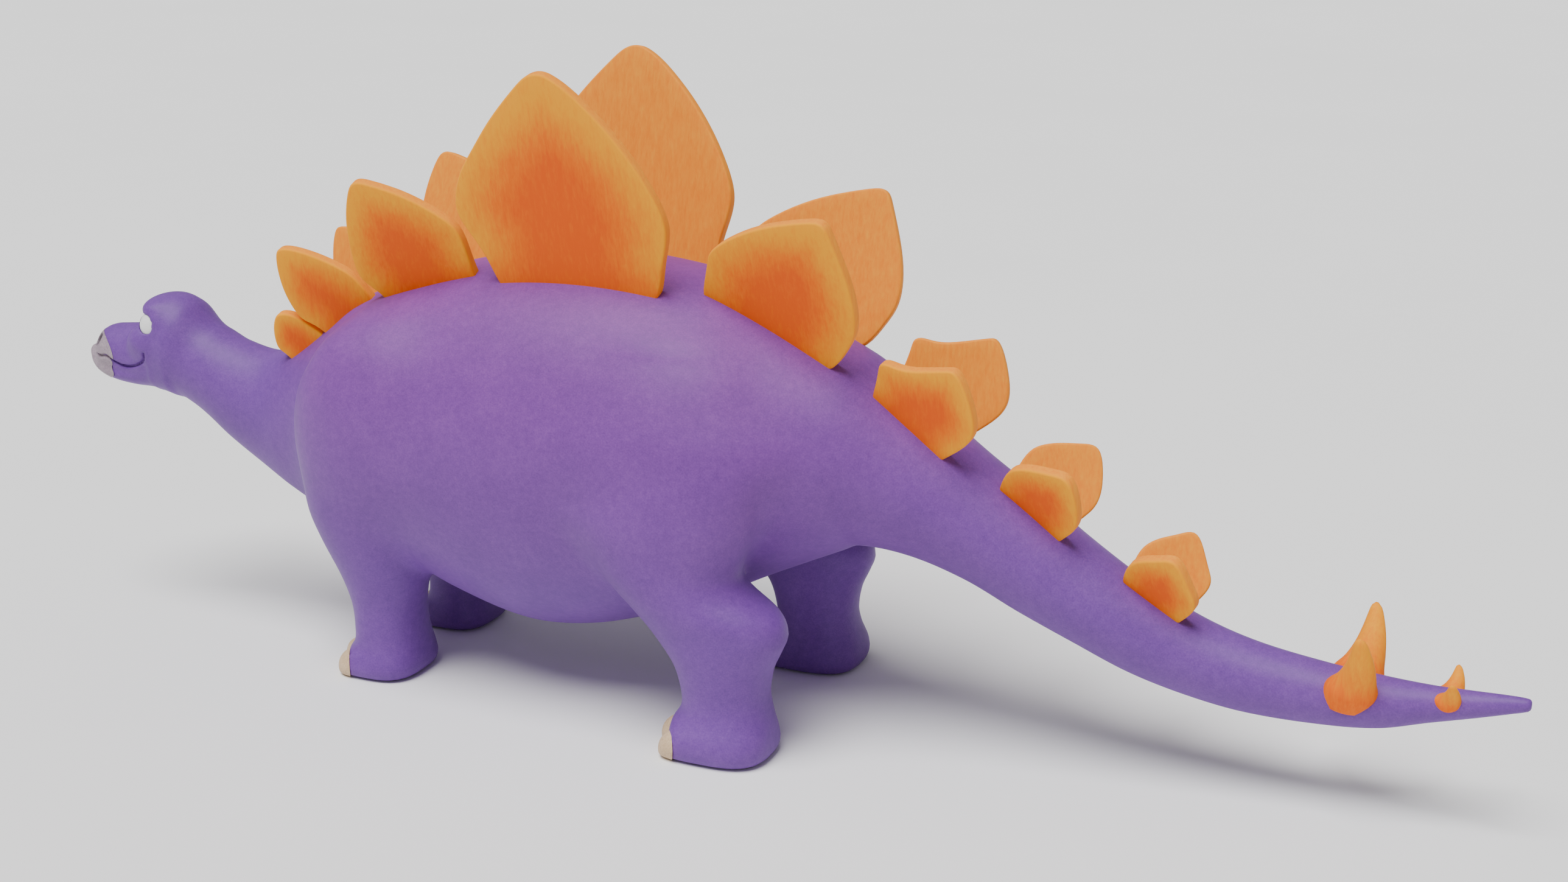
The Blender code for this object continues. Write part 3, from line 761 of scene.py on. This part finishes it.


# The purple's last colour tints the back with a painted reflection of the orange plates.
PURPLE = velour("purple_velour", (0.125, 0.04, 0.26), (0.155, 0.051, 0.305), (0.19, 0.068, 0.35),
                (0.75, 0.65, 1.0), (1.35, 0.9, 0.95))
BEIGE = velour("beige_velour", (0.5, 0.34, 0.19), (0.6, 0.43, 0.26), (0.7, 0.53, 0.34),
               (1.0, 0.95, 0.85))
GREY = velour("grey_velour", (0.24, 0.18, 0.23), (0.32, 0.25, 0.3), (0.4, 0.33, 0.37),
              (0.95, 0.92, 0.95))
FELT = felt()
WHITE = gloss("eye_white_plastic", (0.86, 0.86, 0.85), 0.18)
BLACK = gloss("eye_black_plastic", (0.012, 0.012, 0.016), 0.08)
WASHER = gloss("washer_plastic", (0.75, 0.75, 0.72), 0.45)


# --------------------------------------------------------------------------- skin pieces
def skin_torso():
    """Trunk and legs, in one skin."""
    piece = cut_surface("torso_skin", toy_field, (NECK_CUT - 5, -71, -2), (TAIL_CUT + 5, 71, 180),
                        2.2, PURPLE)
    trim(piece, (NECK_CUT, 0, 0), (-1, 0, 0))
    trim(piece, (TAIL_CUT, 0, 0), (1, 0, 0))
    shade_by(piece, toy_field, (NECK_CUT, TAIL_CUT))
    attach(piece, "torso")
    covered = ["torso_stuffing", "back_panel", "left_flank_panel", "right_flank_panel",
               "belly_panel"]
    for limb in ("front_left", "front_right", "hind_left", "hind_right"):
        covered += [f"{limb}_leg_skin", f"{limb}_leg_stuffing", f"{limb}_sole"]
    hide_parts(*covered)


def skin_tail():
    """The tail's root, where it leaves the trunk."""
    piece = cut_surface("tail_root_skin", toy_field, (TAIL_CUT - 4, -44, 26), (TIP_CUT + 4, 44, 156),
                        1.9, PURPLE)
    trim(piece, (TAIL_CUT, 0, 0), (-1, 0, 0))
    trim(piece, (TIP_CUT, 0, 0), (1, 0, 0))
    shade_by(piece, toy_field, (TAIL_CUT, TIP_CUT))
    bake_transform(piece)
    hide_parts("tail_skin", "tail_stuffing")


def skin_tip():
    """The tail's thin end."""
    piece = cut_surface("tail_end_skin", body_field, (TIP_CUT - 3, -24, 26), (303, 24, 86),
                        1.1, PURPLE)
    trim(piece, (TIP_CUT, 0, 0), (-1, 0, 0))
    shade_by(piece, toy_field, (TIP_CUT,))
    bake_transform(piece)
    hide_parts("tail_tip_skin", "tail_tip_stuffing")


def skin_head():
    """Neck and head."""
    piece = cut_surface("head_and_neck_skin", front_field, (-303, -30, 58), (NECK_CUT + 3, 30, 143),
                        0.65, PURPLE)
    trim(piece, (NECK_CUT, 0, 0), (1, 0, 0))
    shade_by(piece, toy_field, (NECK_CUT,))
    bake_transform(piece)
    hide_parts("head_skin", "head_stuffing")


def snout_end():
    """The grey end of the snout, lips included."""
    piece = cut_surface("snout_end", snout_field, (-302, -16, 94), (-268, 16, 127), 0.6, GREY)
    trim_bent(piece, GREY_FROM, GREY_BEND)
    place, size = NOSTRIL
    depth = ellipsoid(mirrored(positions(piece)), place, size)
    # Marks the inside of the nostril for its painted shade.
    store(piece, "painted_nostril_shade", np.clip(0.4 - depth / 0.8, 0, 1))
    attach(piece, "head")
    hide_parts("muzzle_patch", "chin_patch")


def toe_caps():
    """Lobed beige toes on each foot."""
    for limb, table, toes in (("front", FRONT_TABLE, FRONT_TOES), ("hind", HIND_TABLE, HIND_TOES)):
        middle, start = toes
        for side, sign in (("left", -1), ("right", 1)):
            low = (start - 9, sign * middle - 23, -1.5)
            high = (start + 15, sign * middle + 23, CAP_TOP)
            piece = cut_surface(f"{limb}_{side}_toes", lobes_field(table, toes), low, high, 0.7, BEIGE)
            trim_bent(piece, start, TOE_BEND, middle)
            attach(piece, "torso")
            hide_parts(f"{limb}_{side}_toe_cap")


# --------------------------------------------------------------------------- plates, spikes, eyes
def closed_curve(outline, steps):
    """A closed smooth curve through outline points."""
    points = np.array(outline, float)
    out = []
    for k in range(len(points)):
        a, b, c, d = (points[(k + i) % len(points)] for i in (-1, 0, 1, 2))
        for step in range(steps):
            t = step / steps
            out.append(0.5 * (2 * b + (c - a) * t + (2 * a - 5 * b + 4 * c - d) * t**2
                              + (3 * b - a - 3 * c + d) * t**3))
    return np.array(out)


def plate_outline(outline):
    """A plate's smooth outline, with its base sunk into the body and its corners eased."""
    deep = [(a, b * PLATE_ROOT if b < 0 else b) for a, b in outline]
    curve = closed_curve(deep, 6)
    for _ in range(PLATE_SOFTENING):
        curve = curve / 2 + (np.roll(curve, 1, 0) + np.roll(curve, -1, 0)) / 4
    return curve


def plate_rings(curve):
    """Rings and their heights, from the back face round the rounded edge to the front face."""
    centre = curve.mean(0)
    away = curve - centre
    length = np.linalg.norm(away, axis=1)[:, None]
    half = [(centre + away, 0.0)]
    for step in reversed(range(PLATE_BEVEL_STEPS)):
        angle = math.pi / 2 * step / (PLATE_BEVEL_STEPS - 1)
        inset = PLATE_EDGE * (1 - math.sin(angle))
        height = PLATE_HALF - PLATE_EDGE * (1 - math.cos(angle))
        half.append((centre + away * (1 - inset / length), height))
    face = away * (1 - PLATE_EDGE / length)
    for scale in PLATE_FACE_RINGS:
        half.append((centre + face * scale, PLATE_HALF))
    return [(ring, -height) for ring, height in half[::-1]] + half[1:]


def shade_plate(piece, curve, flat, front):
    """Stores where a plate's outer face turns red and which points lie on the inner face."""
    size = curve[:, 1].max()
    free = curve[curve[:, 1] > 0.12 * size]
    gap = np.sqrt(((flat[:, None, :] - free[None]) ** 2).sum(2)).min(1)
    depth = gap / (0.30 * size + 3)
    depth -= 0.35 * np.clip((flat[:, 1] / size - 0.55) / 0.45, 0, 1)
    outer = np.clip((front + 0.05) * 2, 0, 1)
    store(piece, "heart", np.clip(depth, 0, 1) * outer)
    store(piece, "inner", 1 - np.clip((front - 0.55) / 0.35, 0, 1))


def add_plate(number, side, sign):
    """A felt plate with rounded edges and a shaded outer face."""
    base, slope_deg, lean_deg, outline = PLATES[number - 1]
    tilt, lean = math.radians(slope_deg), math.radians(lean_deg)
    along = np.array((math.cos(tilt), 0, -math.sin(tilt)))
    up = np.array((math.sin(tilt) * math.cos(lean), sign * math.sin(lean),
                   math.cos(tilt) * math.cos(lean)))
    across = np.cross(along, up)
    outward = sign * np.sign(across[1])
    origin = np.array((base[0], -sign * base[1], base[2]))
    curve = plate_outline(outline)
    rings = plate_rings(curve)
    flat = np.concatenate([ring for ring, height in rings])
    heights = np.repeat([height for ring, height in rings], len(curve))
    points = origin + flat[:, :1] * along + flat[:, 1:] * up + heights[:, None] * across
    faces = ring_walls(len(rings), len(curve))
    piece = mesh_from(f"felt_plate_{side}_{number}", points, faces, FELT)
    face_outward(piece)
    shade_plate(piece, curve, flat, outward * heights / PLATE_HALF)
    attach(piece, "tail" if number >= TAIL_PLATES_FROM else "torso")
    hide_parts(f"plate_{side}_{number}")


def add_spike(number, side, sign):
    """A curved felt horn whose flared rim hugs the tail."""
    root, tip, half_length, half_width = SPIKES[number - 1]
    root = np.array((root[0], -sign * root[1], root[2]))
    tip = np.array((tip[0], -sign * tip[1], tip[2]))
    axis = (tip - root) / np.linalg.norm(tip - root)
    long_way = np.array((1.0, 0, 0)) - axis * axis[0]
    long_way /= np.linalg.norm(long_way)
    wide_way = np.cross(axis, long_way)
    places, (size,) = smooth_table(SPIKE_PROFILE, 0.04)
    sides = SPIKE_SIDES
    turn = np.linspace(0, 2 * math.pi, sides, endpoint=False)
    points = []
    for t, s in zip(places, size):
        sweep = long_way * half_length * 0.25 * (math.sin(math.pi * t) - t * 0.3)
        middle = root + (tip - root) * t + sweep
        points.append(middle + np.outer(np.cos(turn), long_way) * half_length * s
                      + np.outer(np.sin(turn), wide_way) * half_width * s)
    points = np.concatenate(points)
    faces = ring_walls(len(places), sides)
    piece = mesh_from(f"horn_{side}_{number}", points, faces, FELT)
    face_outward(piece)
    store(piece, "heart", np.repeat(np.interp(places, (0.2, 0.4, 0.7), (0.75, 0.4, 0.15)), sides))
    store(piece, "inner", np.zeros(len(points)))
    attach(piece, "tail_tip")
    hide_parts(f"spike_{side}_{number}")


def add_eye(side, sign):
    """A domed safety eye with a dark pupil that looks forward."""
    centre = np.array((EYE.x, -sign * EYE.y, EYE.z))
    axis = np.array((EYE_AXIS.x, -sign * EYE_AXIS.y, EYE_AXIS.z))
    across = np.cross(axis, (0, 0, 1.0))
    across /= np.linalg.norm(across)
    up = np.cross(across, axis)
    sides, rows = EYE_SIDES, EYE_ROWS

    def dome(name, radius, stop, material):
        turn = np.linspace(0, 2 * math.pi, sides, endpoint=False)
        points = [centre + axis * radius]
        for row in range(1, rows + 1):
            angle = stop * row / rows
            points += list(centre + axis * radius * math.cos(angle) + radius * math.sin(angle)
                           * (np.outer(np.cos(turn), across) + np.outer(np.sin(turn), up)))
        faces = [(0, 1 + i, 1 + (i + 1) % sides) for i in range(sides)]
        for row in range(rows - 1):
            for i in range(sides):
                j = (i + 1) % sides
                a = 1 + row * sides
                faces.append((a + i, a + sides + i, a + sides + j, a + j))
        piece = mesh_from(name, points, faces, material)
        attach(piece, "head")
        return piece

    white = dome(f"eyeball_{side}", EYE_RADIUS, WHITE_ANGLE, WHITE)
    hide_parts(f"eye_{side}")
    dark = dome(f"eye_pupil_{side}", EYE_RADIUS + PUPIL_LIFT, PUPIL_ANGLE, BLACK)
    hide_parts(f"pupil_{side}")


# --------------------------------------------------------------------------- stage
def studio():
    """Pale floor, soft lights and the camera."""
    mesh = bpy.data.meshes.new("studio_floor")
    size = FLOOR_HALF
    mesh.from_pydata([(-size, -size, 0), (size, -size, 0), (size, size, 0), (-size, size, 0)],
                     [], [(0, 1, 2, 3)])
    mesh.materials.append(floor_paint())
    floor = link("studio_floor", mesh)
    floor.location.z = -0.0005

    world = bpy.data.worlds.new("studio_world")
    bpy.context.scene.world = world
    world.use_nodes = True
    backdrop = world.node_tree.nodes["Background"]
    backdrop.inputs["Color"].default_value = (1, 1, 1, 1)
    backdrop.inputs["Strength"].default_value = FILL_LIGHT

    sun = bpy.data.lights.new("key_light", "SUN")
    sun.energy = SUN_STRENGTH
    sun.angle = math.radians(SUN_SPREAD_DEG)
    lamp = bpy.data.objects.new("key_light", sun)
    lamp.rotation_euler = Vector(SUN_WAY).to_track_quat("-Z", "Y").to_euler()
    bpy.context.scene.collection.objects.link(lamp)

    camera = bpy.data.objects.new("camera", bpy.data.cameras.new("camera"))
    camera.data.lens = CAMERA_LENS
    camera.data.sensor_width = CAMERA_SENSOR
    camera.data.clip_start = 0.01
    camera.location = CAMERA_PLACE
    camera.rotation_euler = (math.radians(CAMERA_PITCH), 0, math.radians(CAMERA_YAW))
    bpy.context.scene.collection.objects.link(camera)
    bpy.context.scene.camera = camera


def build():
    """Every piece, in order of its place on the toy."""
    skin_torso()
    skin_tail()
    skin_tip()
    skin_head()
    snout_end()
    toe_caps()
    for side, sign in (("left", -1), ("right", 1)):
        for number in range(1, len(PLATES) + 1):
            add_plate(number, side, sign)
        for number in range(1, len(SPIKES) + 1):
            add_spike(number, side, sign)
        add_eye(side, sign)
    for name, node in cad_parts.items():
        if "washer" in name:
            node.data.materials.clear()
            node.data.materials.append(WASHER)
    studio()


build()
